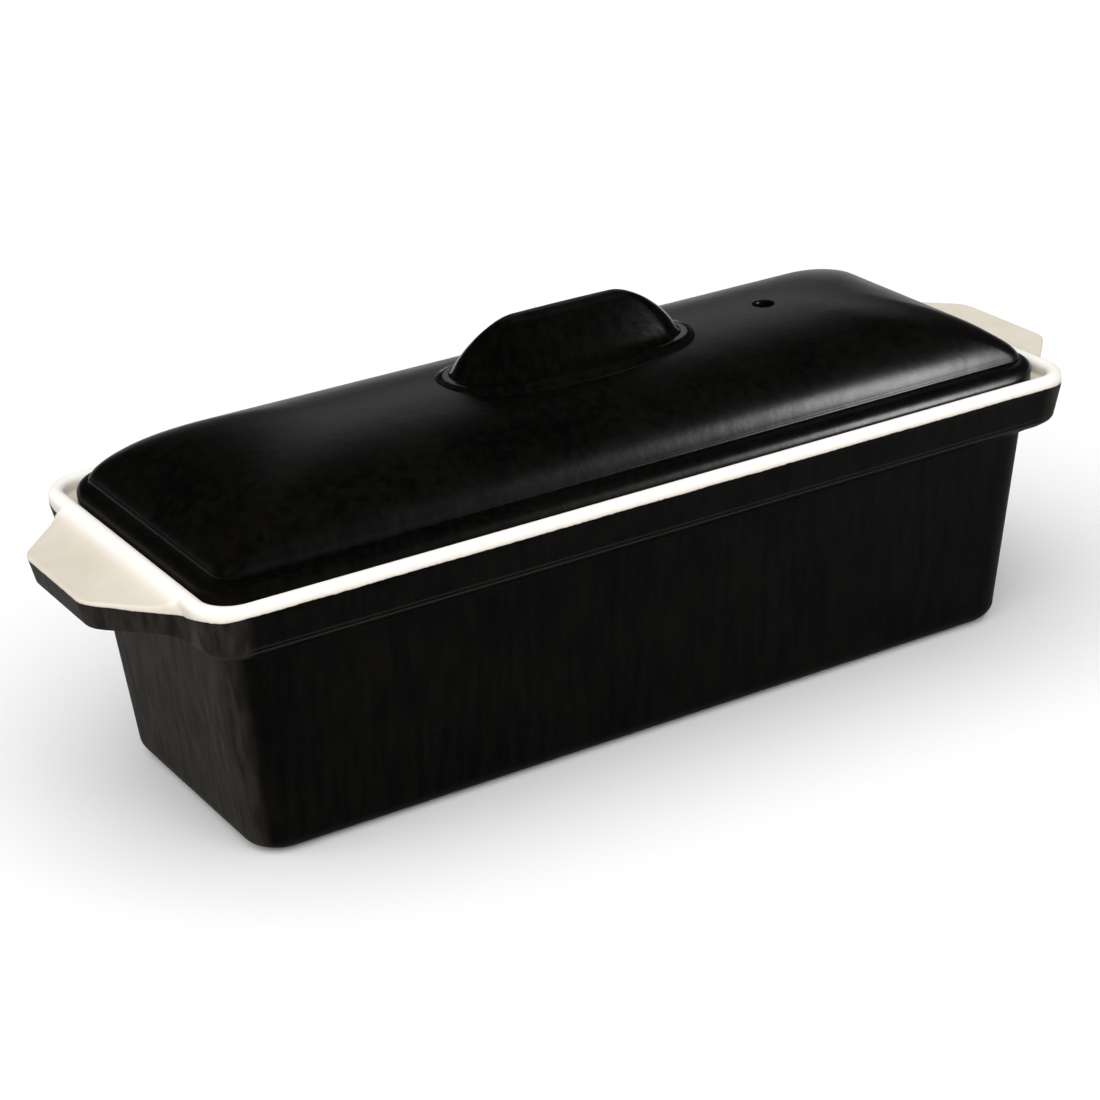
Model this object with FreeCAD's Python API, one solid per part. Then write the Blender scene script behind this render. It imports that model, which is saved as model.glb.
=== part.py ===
import FreeCAD, Part
import math
import os

# An oblong cast-iron terrine with a loose domed lid. Millimetres, +Z up, +X along the length.
# The origin is the middle of the flat underside.

# Rim band of the dish
rim_length = 285.0
rim_width = 114.2
rim_corner_radius = 12.0
rim_top_z = 82.4
bead_thickness = 4.4
bead_crest_flat = 0.1
band_widest_z = 78.0
band_bottom_z = 67.8
band_bottom_inset = 2.2
band_edge_radius = 2.6

# Body of the dish below the band
body_inset = 8.6
body_top_z = 63.4
body_corner_radius = 14.0
draft_angle = 5.0
bottom_edge_radius = 6.7

# Cavity, and the ledge that carries the lid
wall = 3.6
floor_thickness = 4.0
cavity_corner_radius = 11.5
ledge_depth = 4.2
floor_edge_radius = 5.5

# Ears at the two ends
ear_length = 19.5
ear_top_z = 78.4
ear_thickness = 7.2
ear_draft = 2.0
ear_taper = 21.0
ear_tip_corner_radius = 9.0
ear_root_margin = 17.1
ear_root_radius = 15.0
ear_root_sink = 0.5
ear_cove_radius = 2.8
ear_cove_sink = 0.25
ear_underside_run = 9.0
ear_edge_radius = 1.5

# Flange of the lid
lid_side_clearance = 0.8
flange_rise = 2.4
flange_edge_radius = 4.2
flange_corner_radius = 14.4
flange_flat = 3.0

# Dome of the lid
dome_height = 19.2
dome_end_ease = 9.3
dome_shoulder_rise = 11.4
dome_hip_radius = 9.5
dome_crown_flat = 0.12
lid_wall = 3.6

# Steam vent
vent_x = 69.0
vent_diameter = 5.0
vent_edge = 0.7

# Fin handle on the crown of the lid
plinth_half_length = 40.0
plinth_half_width = 17.0
plinth_rise = 0.6
plinth_chamfer = 0.5
oval_end_share = 0.82
fin_height = 15.7
fin_foot_half_length = 38.4
fin_foot_half_width = 13.2
fin_top_half_length = 16.0
fin_top_half_width = 2.9
fin_top_radius = 2.2
fin_flare_power = 1.2
fin_end_power = 1.3
fin_end_roundness = 0.6
fin_sections = 8

# Heights that the pieces share
ledge_z = rim_top_z - ledge_depth
flange_top_z = rim_top_z + flange_rise
crown_z = flange_top_z + dome_height
draft = math.tan(math.radians(draft_angle))
half_rim_length = rim_length / 2
half_rim_width = rim_width / 2
ear_reach = half_rim_length + ear_length
ear_root_half_width = half_rim_width - ear_root_margin
ear_tip_half_width = ear_root_half_width - ear_taper


def rounded_rectangle(half_length, half_width, radius, z):
    """Closed wire of four sides and four quarter arcs at one height."""
    up = FreeCAD.Vector(0, 0, 1)
    across = half_length - radius
    along = half_width - radius
    edges = []
    corners = [(across, along, 0), (-across, along, 90), (-across, -along, 180), (across, -along, 270)]
    for index, (x, y, start) in enumerate(corners):
        edges.append(Part.makeCircle(radius, FreeCAD.Vector(x, y, z), up, start, start + 90))
        next_x, next_y, next_start = corners[(index + 1) % 4]
        turn = math.radians(next_start)
        begin = edges[-1].Vertexes[-1].Point
        end = FreeCAD.Vector(next_x + radius * math.cos(turn), next_y + radius * math.sin(turn), z)
        edges.append(Part.makeLine(begin, end))
    return Part.Wire(edges)


def inset_rectangle(inset, radius, z):
    """The rim's outline pulled inwards by one inset."""
    return rounded_rectangle(half_rim_length - inset, half_rim_width - inset, radius, z)


def oval(half_length, half_width, z):
    """Closed wire of four tangent arcs, blunt at the ends and slack along the sides."""
    end_radius = oval_end_share * half_width
    centre = half_length - end_radius
    side_radius = (centre ** 2 + half_width ** 2 - end_radius ** 2) / (2 * (half_width - end_radius))
    drop = side_radius - half_width
    reach = math.hypot(centre, drop)
    meet_x = centre + end_radius * centre / reach
    meet_y = end_radius * drop / reach

    def point(x, y):
        return FreeCAD.Vector(x, y, z)

    arcs = [
        Part.Arc(point(meet_x, -meet_y), point(half_length, 0), point(meet_x, meet_y)),
        Part.Arc(point(meet_x, meet_y), point(0, half_width), point(-meet_x, meet_y)),
        Part.Arc(point(-meet_x, meet_y), point(-half_length, 0), point(-meet_x, -meet_y)),
        Part.Arc(point(-meet_x, -meet_y), point(0, -half_width), point(meet_x, -meet_y)),
    ]
    return Part.Wire([arc.toShape() for arc in arcs])


def edges_at(shape, z, tolerance=0.01):
    """Edges of a shape that lie wholly at one height."""
    found = []
    for edge in shape.Edges:
        box = edge.BoundBox
        if abs(box.ZMin - z) < tolerance and abs(box.ZMax - z) < tolerance:
            found.append(edge)
    return found


def drafted_rectangle(inset, radius, z):
    """Outline at a height of a drafted wall, from its inset and corner radius at the body's top."""
    lean = (body_top_z - z) * draft
    return inset_rectangle(inset + lean, radius - lean, z)


def make_body():
    top = drafted_rectangle(body_inset, body_corner_radius, body_top_z)
    foot = drafted_rectangle(body_inset, body_corner_radius, 0)
    body = Part.makeLoft([foot, top], True, True)
    return body.makeFillet(bottom_edge_radius, edges_at(body, 0))


def make_band():
    """Thick band round the rim, undercut to the body and rounded into a bead on top."""
    levels = [
        drafted_rectangle(body_inset, body_corner_radius, body_top_z),
        inset_rectangle(band_bottom_inset, rim_corner_radius - band_bottom_inset, band_bottom_z),
        inset_rectangle(0, rim_corner_radius, band_widest_z),
        inset_rectangle(0, rim_corner_radius, rim_top_z),
    ]
    band = Part.makeLoft(levels, True, True)
    return band.makeFillet(band_edge_radius, edges_at(band, band_bottom_z))


def ear_plan(inset, z):
    """Plan of one ear at a height: round tip corners, straight flanks and hollow roots in the rim's end."""
    root_x = half_rim_length - ear_root_sink
    buried_x = half_rim_length - rim_corner_radius
    tip_corner = FreeCAD.Vector(ear_reach - inset, ear_tip_half_width, z)
    root_corner = FreeCAD.Vector(root_x - inset, ear_root_half_width, z)
    flank = (root_corner - tip_corner).normalize()
    across = FreeCAD.Vector(0, 1, 0)
    half_turn = across.getAngle(flank) / 2
    inward = (flank + across).normalize()
    tip_radius = ear_tip_corner_radius - inset
    root_radius = ear_root_radius + inset
    tip_run = tip_radius * math.tan(half_turn)
    root_run = root_radius * math.tan(half_turn)
    normal = FreeCAD.Vector(-inward.y, inward.x, 0)
    tip_middle = tip_corner + normal * tip_radius * (1 / math.cos(half_turn) - 1)
    root_middle = root_corner - normal * root_radius * (1 / math.cos(half_turn) - 1)
    points = [
        tip_corner - across * tip_run,
        tip_middle,
        tip_corner + flank * tip_run,
        root_corner - flank * root_run,
        root_middle,
        root_corner + across * root_run,
    ]
    far_points = [FreeCAD.Vector(point.x, -point.y, z) for point in points]
    buried = FreeCAD.Vector(buried_x, points[5].y, z)
    far_buried = FreeCAD.Vector(buried_x, -points[5].y, z)
    edges = [
        Part.makeLine(far_points[0], points[0]),
        Part.Arc(points[0], points[1], points[2]).toShape(),
        Part.makeLine(points[2], points[3]),
        Part.Arc(points[3], points[4], points[5]).toShape(),
        Part.makeLine(points[5], buried),
        Part.makeLine(buried, far_buried),
        Part.makeLine(far_buried, far_points[5]),
        Part.Arc(far_points[5], far_points[4], far_points[3]).toShape(),
        Part.makeLine(far_points[3], far_points[2]),
        Part.Arc(far_points[2], far_points[1], far_points[0]).toShape(),
    ]
    return Part.Wire(edges)


def prism_across(points, curve):
    """A prism across the dish: its side outline is straight runs closed by one curve."""
    runs = Part.makePolygon([FreeCAD.Vector(x, -half_rim_width, z) for x, z in points])
    side = Part.Face(Part.Wire(runs.Edges + [curve.toShape()]))
    return side.extrude(FreeCAD.Vector(0, rim_width, 0))


def ear_topside():
    """The space above one ear, with a hollow round corner against the bead."""
    wall_x = half_rim_length - ear_cove_sink
    clear_x = ear_reach + ear_cove_radius
    clear_z = rim_top_z + ear_cove_radius
    centre = FreeCAD.Vector(wall_x + ear_cove_radius, -half_rim_width, ear_top_z + ear_cove_radius)
    turn = ear_cove_radius * math.sqrt(0.5)
    cove = Part.Arc(
        centre - FreeCAD.Vector(ear_cove_radius, 0, 0),
        centre - FreeCAD.Vector(turn, 0, turn),
        centre - FreeCAD.Vector(0, 0, ear_cove_radius),
    )
    points = [
        (centre.x, ear_top_z),
        (clear_x, ear_top_z),
        (clear_x, clear_z),
        (wall_x, clear_z),
        (wall_x, centre.z),
    ]
    return prism_across(points, cove)


def ear_underside():
    """The space under one ear, which rises in a hollow curve from the band to the tip."""
    wall_x = half_rim_length - band_bottom_inset
    bottom_z = ear_top_z - ear_thickness
    clear_x = ear_reach + ear_underside_run
    buried_x = wall_x - rim_corner_radius * 2
    start = FreeCAD.Vector(wall_x, -half_rim_width, band_bottom_z)
    turn = FreeCAD.Vector(wall_x + ear_underside_run / 3, -half_rim_width, bottom_z)
    level = FreeCAD.Vector(wall_x + ear_underside_run, -half_rim_width, bottom_z)
    sweep = Part.BezierCurve()
    sweep.setPoles([start, turn, level])
    points = [
        (level.x, bottom_z),
        (clear_x, bottom_z),
        (clear_x, 0),
        (buried_x, 0),
        (buried_x, band_bottom_z),
        (wall_x, band_bottom_z),
    ]
    return prism_across(points, sweep)


def make_ear():
    """One ear, drafted towards its underside and rounded at its edges."""
    foot_z = band_bottom_z
    head_z = ear_top_z + ear_cove_radius
    slope = ear_draft / ear_thickness
    foot = ear_plan((ear_top_z - foot_z) * slope, foot_z)
    head = ear_plan((ear_top_z - head_z) * slope, head_z)
    ear = Part.makeLoft([foot, head], True, True)
    ear = ear.cut(ear_topside()).cut(ear_underside())
    outer = [edge for edge in edges_at(ear, ear_top_z) + edges_at(ear, ear_top_z - ear_thickness)
             if edge.BoundBox.XMax > half_rim_length + ear_underside_run]
    return ear.makeFillet(ear_edge_radius, outer)


def make_cavity():
    """The room for food: drafted like the outside, with a rounded floor."""
    floor = drafted_rectangle(body_inset + wall, cavity_corner_radius, floor_thickness)
    mouth = drafted_rectangle(body_inset + wall, cavity_corner_radius, ledge_z)
    cavity = Part.makeLoft([floor, mouth], True, True)
    return cavity.makeFillet(floor_edge_radius, edges_at(cavity, floor_thickness))


def make_lid_recess():
    """The stepped pocket inside the bead, down to the ledge."""
    radius = rim_corner_radius - bead_thickness
    foot = inset_rectangle(bead_thickness, radius, ledge_z)
    return Part.Face(foot).extrude(FreeCAD.Vector(0, 0, rim_top_z))


def make_dish():
    dish = make_body().fuse(make_band())
    ear = make_ear()
    other_ear = ear.mirror(FreeCAD.Vector(0, 0, 0), FreeCAD.Vector(1, 0, 0))
    dish = dish.fuse([ear, other_ear]).removeSplitter()
    dish = dish.cut(make_lid_recess()).cut(make_cavity())
    bead_radius = (bead_thickness - bead_crest_flat) / 2
    return dish.makeFillet(bead_radius, edges_at(dish, rim_top_z))


def flange_inset():
    return bead_thickness + lid_side_clearance


def make_flange():
    foot = inset_rectangle(flange_inset(), flange_corner_radius, ledge_z)
    flange = Part.Face(foot).extrude(FreeCAD.Vector(0, 0, flange_top_z - ledge_z))
    return flange.makeFillet(flange_edge_radius, edges_at(flange, flange_top_z))


def arch_profile(half_span, half_flat, rise, shoulder_rise):
    """Points of an arch, right to left: a level crown between two shoulders of two tangent arcs each.

    The foot arc leaves the ground upright and meets the crown arc at the shoulder's height.
    """
    run = half_span - half_flat
    spread = run + rise
    slack = spread ** 2 - 4 * shoulder_rise * (run - rise + shoulder_rise)
    turn = 2 * math.atan((spread - math.sqrt(slack)) / (2 * shoulder_rise))
    foot_radius = shoulder_rise / math.sin(turn)
    crown_radius = (rise - shoulder_rise) / (1 - math.sin(turn))

    def on_foot_arc(angle):
        middle = half_span - foot_radius
        return middle + foot_radius * math.cos(angle), foot_radius * math.sin(angle)

    def on_crown_arc(angle):
        middle = rise - crown_radius
        return half_flat + crown_radius * math.cos(angle), middle + crown_radius * math.sin(angle)

    right = [
        on_foot_arc(0),
        on_foot_arc(turn / 2),
        on_foot_arc(turn),
        on_crown_arc(turn / 2 + math.pi / 4),
        on_crown_arc(math.pi / 2),
    ]
    left = [(-across, height) for across, height in reversed(right)]
    return right, left


def make_arch(half_span, half_flat, foot_z, rise, shoulder_rise, depth):
    """A prism of one arch, spanning X and running along Y."""
    right, left = arch_profile(half_span, half_flat, rise, shoulder_rise)

    def point(place):
        return FreeCAD.Vector(place[0], -depth / 2, foot_z + place[1])

    edges = []
    for side in (right, left):
        edges.append(Part.Arc(point(side[0]), point(side[1]), point(side[2])).toShape())
        edges.append(Part.Arc(point(side[2]), point(side[3]), point(side[4])).toShape())
    if half_flat > 0:
        edges.append(Part.makeLine(point(right[-1]), point(left[0])))
    edges.append(Part.makeLine(point(left[-1]), point(right[0])))
    outline = Part.Wire(Part.__sortEdges__(edges))
    return Part.Face(outline).extrude(FreeCAD.Vector(0, depth, 0))


def make_crossed_arches(foot_half_length, foot_half_width, rise, shoulder_rise):
    """What two arches share when one runs along the lid and one across it, level at the crown."""
    half_flat = foot_half_length - foot_half_width - dome_end_ease
    lengthwise = make_arch(foot_half_length, half_flat, flange_top_z, rise, shoulder_rise, rim_width)
    crosswise = make_arch(foot_half_width, 0, flange_top_z, rise, shoulder_rise, rim_length)
    crosswise.rotate(FreeCAD.Vector(0, 0, 0), FreeCAD.Vector(0, 0, 1), 90)
    level_z = flange_top_z + rise - dome_crown_flat
    corner = FreeCAD.Vector(-half_rim_length, -half_rim_width, level_z)
    above = Part.makeBox(rim_length, rim_width, rise, corner)
    return lengthwise.common(crosswise.cut(above))


def hip_edges(shape):
    """The edges from the dome's corners up to its ridge, which run along, across and up at once."""
    found = []
    for edge in shape.Edges:
        box = edge.BoundBox
        leans = min(box.XLength, box.YLength, box.ZLength) > dome_crown_flat / 4
        beyond_plinth = min(abs(box.XMin), abs(box.XMax)) > plinth_half_length
        if leans and beyond_plinth and box.ZMin > ledge_z + flange_rise:
            found.append(edge)
    return found


def fin_wires():
    """Outlines of the handle from its foot to its rounded top."""
    wires = []
    for index in range(fin_sections):
        share = index / (fin_sections - 1)
        rise = math.sin(share * math.pi / 2)
        reach = (1 - rise ** fin_end_power) ** fin_end_roundness
        half_length = fin_top_half_length + (fin_foot_half_length - fin_top_half_length) * reach
        flare = (1 - rise) ** fin_flare_power
        half_width = fin_top_half_width + (fin_foot_half_width - fin_top_half_width) * flare
        below_top = fin_height * (1 - rise)
        if below_top < fin_top_radius:
            lean = fin_top_radius - below_top
            half_width -= fin_top_radius - math.sqrt(max(fin_top_radius ** 2 - lean ** 2, 0.0))
        wires.append(oval(half_length, half_width, crown_z + fin_height * rise))
    return wires


def make_fin():
    return Part.makeLoft(fin_wires(), True, False)


def make_plinth():
    """The low oval step under the handle."""
    base = Part.Face(oval(plinth_half_length, plinth_half_width, crown_z - lid_wall))
    plinth = base.extrude(FreeCAD.Vector(0, 0, lid_wall + plinth_rise))
    return plinth.makeChamfer(plinth_chamfer, edges_at(plinth, crown_z + plinth_rise))


def make_vent():
    """The steam vent's bore, widened at the lid's outside by a small dished edge."""
    bore = Part.makeCylinder(vent_diameter / 2, crown_z, FreeCAD.Vector(vent_x, 0, 0))
    mouth_radius = vent_diameter / 2 + vent_edge
    mouth_z = crown_z - dome_crown_flat - vent_edge
    mouth = Part.makeCone(vent_diameter / 2, mouth_radius, vent_edge, FreeCAD.Vector(vent_x, 0, mouth_z))
    return bore.fuse(mouth)


def make_hollow(foot_inset):
    """The room under the dome, one wall inside it, open down to the ledge."""
    hollow = make_crossed_arches(
        half_rim_length - foot_inset - lid_wall, half_rim_width - foot_inset - lid_wall,
        dome_height - lid_wall, dome_shoulder_rise - lid_wall)
    hip_radius = dome_hip_radius - lid_wall
    hollow = hollow.makeFillet(hip_radius, hip_edges(hollow))
    mouth = Part.Face(inset_rectangle(foot_inset + lid_wall, hip_radius, ledge_z))
    pocket = mouth.extrude(FreeCAD.Vector(0, 0, flange_top_z - ledge_z))
    return [hollow, pocket]


def make_lid():
    foot_inset = flange_inset() + flange_edge_radius + flange_flat
    dome = make_crossed_arches(
        half_rim_length - foot_inset, half_rim_width - foot_inset, dome_height, dome_shoulder_rise)
    lid = make_flange().fuse([dome, make_plinth(), make_fin()])
    lid = lid.makeFillet(dome_hip_radius, hip_edges(lid))
    for room in make_hollow(foot_inset):
        lid = lid.cut(room)
    return lid.cut(make_vent())


parts = {
    "dish": make_dish(),
    "lid": make_lid(),
}

os.makedirs("parts", exist_ok=True)
for name, shape in parts.items():
    shape.exportStep(f"parts/{name}.step")
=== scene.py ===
import math

import bpy
import numpy as np
from mathutils import Matrix, Vector


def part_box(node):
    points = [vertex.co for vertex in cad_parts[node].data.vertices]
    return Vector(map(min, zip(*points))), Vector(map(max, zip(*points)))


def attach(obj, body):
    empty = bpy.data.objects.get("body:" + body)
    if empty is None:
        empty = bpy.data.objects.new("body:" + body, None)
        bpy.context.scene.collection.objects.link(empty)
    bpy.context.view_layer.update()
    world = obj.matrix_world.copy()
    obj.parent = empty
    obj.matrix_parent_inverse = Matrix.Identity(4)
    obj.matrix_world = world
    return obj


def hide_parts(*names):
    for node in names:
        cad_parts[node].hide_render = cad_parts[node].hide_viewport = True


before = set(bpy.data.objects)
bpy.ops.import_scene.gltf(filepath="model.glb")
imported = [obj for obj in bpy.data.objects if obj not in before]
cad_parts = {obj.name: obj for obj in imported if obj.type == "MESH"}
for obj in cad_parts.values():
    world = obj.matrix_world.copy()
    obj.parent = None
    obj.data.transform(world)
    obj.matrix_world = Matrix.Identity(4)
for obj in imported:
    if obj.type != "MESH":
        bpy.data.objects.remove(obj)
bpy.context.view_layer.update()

# Lengths are in millimetres here, and become metres when a mesh is made.
MM = 0.001
QUARTER_TURN = math.pi / 2


def box_mm(node):
    """Lowest and highest corner of one solid of the frame."""
    low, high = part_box(node)
    return Vector(low) / MM, Vector(high) / MM


dish_high = box_mm("dish")[1]
lid_low, lid_high = box_mm("lid")

# Rim and band
FLANGE_INSET = 5.2
RIM_HALF_LENGTH = lid_high.x + FLANGE_INSET
RIM_HALF_WIDTH = dish_high.y
RIM_TOP = dish_high.z
RIM_CORNER = 12.0
BEAD = 4.4
BEAD_RADIUS = 2.15
BAND_WIDEST = RIM_TOP - 4.4
BAND_BOTTOM = RIM_TOP - 14.6
BAND_BOTTOM_INSET = 2.2
BAND_BULGE = 6.0
BAND_EDGE = 2.6

# Body and cavity
BODY_TOP = RIM_TOP - 19.0
BODY_INSET = 8.6
BODY_CORNER = 11.7
BODY_COVE = 1.6
DRAFT = math.tan(math.radians(5.0))
BOTTOM_EDGE = 6.7
WALL = 3.6
FLOOR = 4.0
FLOOR_EDGE = 5.5
FLOOR_CORNER = 1.0
CAVITY_CORNER = 11.5
LEDGE_Z = lid_low.z
LEDGE_FILLET = 0.6
LEDGE_EDGE = 0.8

# Ears
EAR_REACH = dish_high.x + 0.17
EAR_TOP = RIM_TOP - 4.0
EAR_THICKNESS = 8.6
EAR_DRAFT = 2.0
EAR_TIP_HALF_WIDTH = 19.0
EAR_TIP_CORNER = 9.0
EAR_ROOT_HALF_WIDTH = 40.0
EAR_ROOT_CORNER = 15.0
EAR_ROOT_SINK = 0.5
EAR_COVE = 9.0
EAR_UNDERSIDE_RUN = 7.0
EAR_EDGE = 1.5
EAR_FADE = 2.5

# Where the pale enamel ends, as drops from the rim's top and distances from the middle
RIM_LINE_DROP = 2.99
TIP_LINE_DROP = 4.9
FLANK_LINE_DIP = 0.85
FLANK_LINE_RUN = (18.0, 36.0)
ROOT_LINE_RUN = (38.0, 53.0)
CORNER_LINE_DIP = 0.6
FAR_FROM_LINE = 5.0

# Lid
FLANGE_TOP = RIM_TOP + 2.4
FLANGE_EDGE = 4.2
FLANGE_CORNER = 16.5
FLANGE_FLAT = 3.0
FLANGE_UNDER_EDGE = 0.6
DOME_INSET = FLANGE_INSET + FLANGE_EDGE + FLANGE_FLAT
DOME_HEIGHT = 19.2
DOME_END_RUN = 54.0
DOME_END_SPREAD = 2.7
DOME_END_SWEEP = 0.42
DOME_CORNER = 5.5
DOME_CROWN_SHARE = 0.96
DOME_CORNER_POWER = 1.2
DOME_FOOT_COVE = 0.8
CROWN = FLANGE_TOP + DOME_HEIGHT
LID_WALL = 3.6
HOLLOW_EDGE = 0.5

# Handle, on a base that slopes up from a small step on the dome to a narrow shelf
BASE_HALF_LENGTH = 40.9
BASE_HALF_WIDTH = 18.6
BASE_STEP = 0.18
BASE_COVE = 0.5
SHELF_HALF_LENGTH = 38.4
SHELF_HALF_WIDTH = 14.4
SHELF_TOP = CROWN + 0.65
SHELF_ROUNDING = 0.4
OVAL_END_SHARE = 0.82
HANDLE_TOP = lid_high.z
FIN_FOOT_HALF_LENGTH = 36.6
FIN_FOOT_HALF_WIDTH = 12.3
FIN_TOP_HALF_LENGTH = 16.0
FIN_TOP_HALF_WIDTH = 2.3
FIN_TOP_RADIUS = 1.6
FIN_END_POWER = 1.3
FIN_END_ROUNDNESS = 0.6
FIN_TOE = 0.6
FIN_TOE_FADE = 0.6
FIN_SPACING = 1.15

# Vent
VENT_X = 69.0
VENT_RADIUS = 2.8
VENT_EDGE = 0.9


# Points of an outline

class Columns:
    """How many points a quarter outline has on its end, on its corner and on its side."""

    def __init__(self, end, corner, side):
        self.end = np.linspace(0, 1, end, endpoint=False)
        self.corner = np.linspace(0, QUARTER_TURN, corner, endpoint=False)
        self.side = 1 - np.linspace(0, 1, side)
        self.count = end + corner + side

    def rectangle(self, half_length, half_width, radius):
        """A quarter of a rectangle with round corners, from the end's middle to the side's middle."""
        along, across = half_length - radius, half_width - radius
        bend_x, bend_y = radius * np.cos(self.corner), radius * np.sin(self.corner)
        xs = [np.full(len(self.end), half_length), along + bend_x, along * self.side]
        ys = [across * self.end, across + bend_y, np.full(len(self.side), half_width)]
        return np.concatenate(xs), np.concatenate(ys)

    def oval(self, half_length, half_width):
        """A quarter of an oval of tangent arcs, blunt at its end and slack along its side."""
        end_radius = OVAL_END_SHARE * half_width
        centre = half_length - end_radius
        side_radius = centre ** 2 + half_width ** 2 - end_radius ** 2
        side_radius /= 2 * (half_width - end_radius)
        drop = side_radius - half_width
        meet = math.atan2(drop, centre)
        around_end = np.linspace(0, meet, len(self.end) + len(self.corner), endpoint=False)
        along_side = np.linspace(meet, QUARTER_TURN, len(self.side))
        xs = [centre + end_radius * np.cos(around_end), side_radius * np.cos(along_side)]
        ys = [end_radius * np.sin(around_end), side_radius * np.sin(along_side) - drop]
        return np.concatenate(xs), np.concatenate(ys)


def smooth(share):
    """Smooth step from 0 to 1."""
    share = np.clip(share, 0.0, 1.0)
    return share * share * (3 - 2 * share)


def rounded_path(corners, bend_steps=8, run_step=3.0):
    """Points along straight runs with rounded bends.

    A corner is its place, its bend radius and the values that go with it.
    """
    places = [np.array(corner[0], float) for corner in corners]
    values = [np.array(corner[2], float) for corner in corners]
    rows = []

    def add(place, value):
        rows.append(np.concatenate([place, value]))

    def run(start, start_value, end, end_value):
        steps = max(1, int(math.ceil(np.linalg.norm(end - start) / run_step)))
        for step in range(1, steps):
            share = step / steps
            add(start + (end - start) * share, start_value + (end_value - start_value) * share)

    last_place, last_value = places[0], values[0]
    add(last_place, last_value)
    for index in range(1, len(corners) - 1):
        before = places[index - 1] - places[index]
        after = places[index + 1] - places[index]
        before_length, after_length = np.linalg.norm(before), np.linalg.norm(after)
        before, after = before / before_length, after / after_length
        opening = math.acos(float(np.clip(before @ after, -1, 1)))
        radius = corners[index][1]
        back = radius / math.tan(opening / 2)
        middle = (before + after) / np.linalg.norm(before + after)
        centre = places[index] + middle * radius / math.sin(opening / 2)
        first, second = places[index] + before * back, places[index] + after * back
        first_value = values[index] + (values[index - 1] - values[index]) * back / before_length
        second_value = values[index] + (values[index + 1] - values[index]) * back / after_length
        run(last_place, last_value, first, first_value)
        turn = math.pi - opening
        for step in range(bend_steps + 1):
            share = step / bend_steps
            arm = (first - centre) * math.sin((1 - share) * turn)
            arm += (second - centre) * math.sin(share * turn)
            add(centre + arm / math.sin(turn), first_value + (second_value - first_value) * share)
        last_place, last_value = second, second_value
    run(last_place, last_value, places[-1], values[-1])
    add(places[-1], values[-1])
    return np.array(rows)


def resample(path, marks, counts):
    """Points of a path between marks along its length, so many in each stretch, and its last one."""
    steps = np.linalg.norm(np.diff(path, axis=0), axis=1)
    along = np.concatenate([[0.0], np.cumsum(steps)])
    places = [np.linspace(start, end, count, endpoint=False)
              for start, end, count in zip(marks[:-1], marks[1:], counts)]
    wanted = np.concatenate(places + [[marks[-1]]])
    return np.stack([np.interp(wanted, along, path[:, axis]) for axis in (0, 1)], axis=1)


def soften(path, reach):
    """The path with its sharp bends rounded over a reach, and its two ends held."""
    steps = np.linalg.norm(np.diff(path, axis=0), axis=1)
    along = np.concatenate([[0.0], np.cumsum(steps)])
    spacing = 0.1
    count = int(along[-1] / spacing)
    even = np.linspace(0, along[-1], count)
    points = np.stack([np.interp(even, along, path[:, axis]) for axis in (0, 1)], axis=1)
    half = int(reach / spacing)
    before = 2 * points[0] - points[half:0:-1]
    after = 2 * points[-1] - points[-2:-half - 2:-1]
    padded = np.concatenate([before, points, after])
    kernel = np.hanning(2 * half + 1)
    kernel /= kernel.sum()
    return np.stack([np.convolve(padded[:, axis], kernel, "valid") for axis in (0, 1)], axis=1)


# Dish

dish_columns = Columns(60, 16, 40)


def ring(columns, inset, z, corner):
    """One level outline of the dish or the lid, set in from the rim."""
    x, y = columns.rectangle(RIM_HALF_LENGTH - inset, RIM_HALF_WIDTH - inset, corner)
    return np.stack([x, y, np.full_like(x, z)], axis=1)


def collapsed(points, half_width):
    """The ring drawn together into a line along the middle."""
    line = points.copy()
    line[:, 0] *= 1 - half_width / points[0, 0]
    line[:, 1] = 0
    return line


def outer_section():
    """The dish's outside from its flat bottom to the band's underside."""
    lean = BODY_TOP * DRAFT
    foot_inset = BODY_INSET + lean
    rest_inset = foot_inset + BOTTOM_EDGE * 2
    return rounded_path([
        ((rest_inset, 0), 0, (BODY_CORNER - BOTTOM_EDGE * 1.4,)),
        ((foot_inset, 0), BOTTOM_EDGE, (BODY_CORNER,)),
        ((BODY_INSET, BODY_TOP), BODY_COVE, (BODY_CORNER,)),
        ((BAND_BOTTOM_INSET, BAND_BOTTOM), BAND_EDGE, (RIM_CORNER - BAND_BOTTOM_INSET,)),
        ((0, BAND_WIDEST), BAND_BULGE, (RIM_CORNER,)),
        ((0, RIM_TOP), 0, (RIM_CORNER,)),
    ])


def bead_centre():
    """Inset and height of the middle of the bead's round."""
    return BEAD_RADIUS, RIM_TOP - BEAD_RADIUS


def cove_middle():
    """Middle of the hollow between bead and ear: its distance beyond the rim's end and its height."""
    rise = EAR_TOP + EAR_COVE - bead_centre()[1]
    reach = BEAD_RADIUS + EAR_COVE
    return math.sqrt(reach ** 2 - rise ** 2) - BEAD_RADIUS, EAR_TOP + EAR_COVE


def bead_start():
    """Angle on the bead where the hollow against the ear ends."""
    beyond, height = cove_middle()
    return math.atan2(height - bead_centre()[1], beyond + BEAD_RADIUS)


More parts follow.
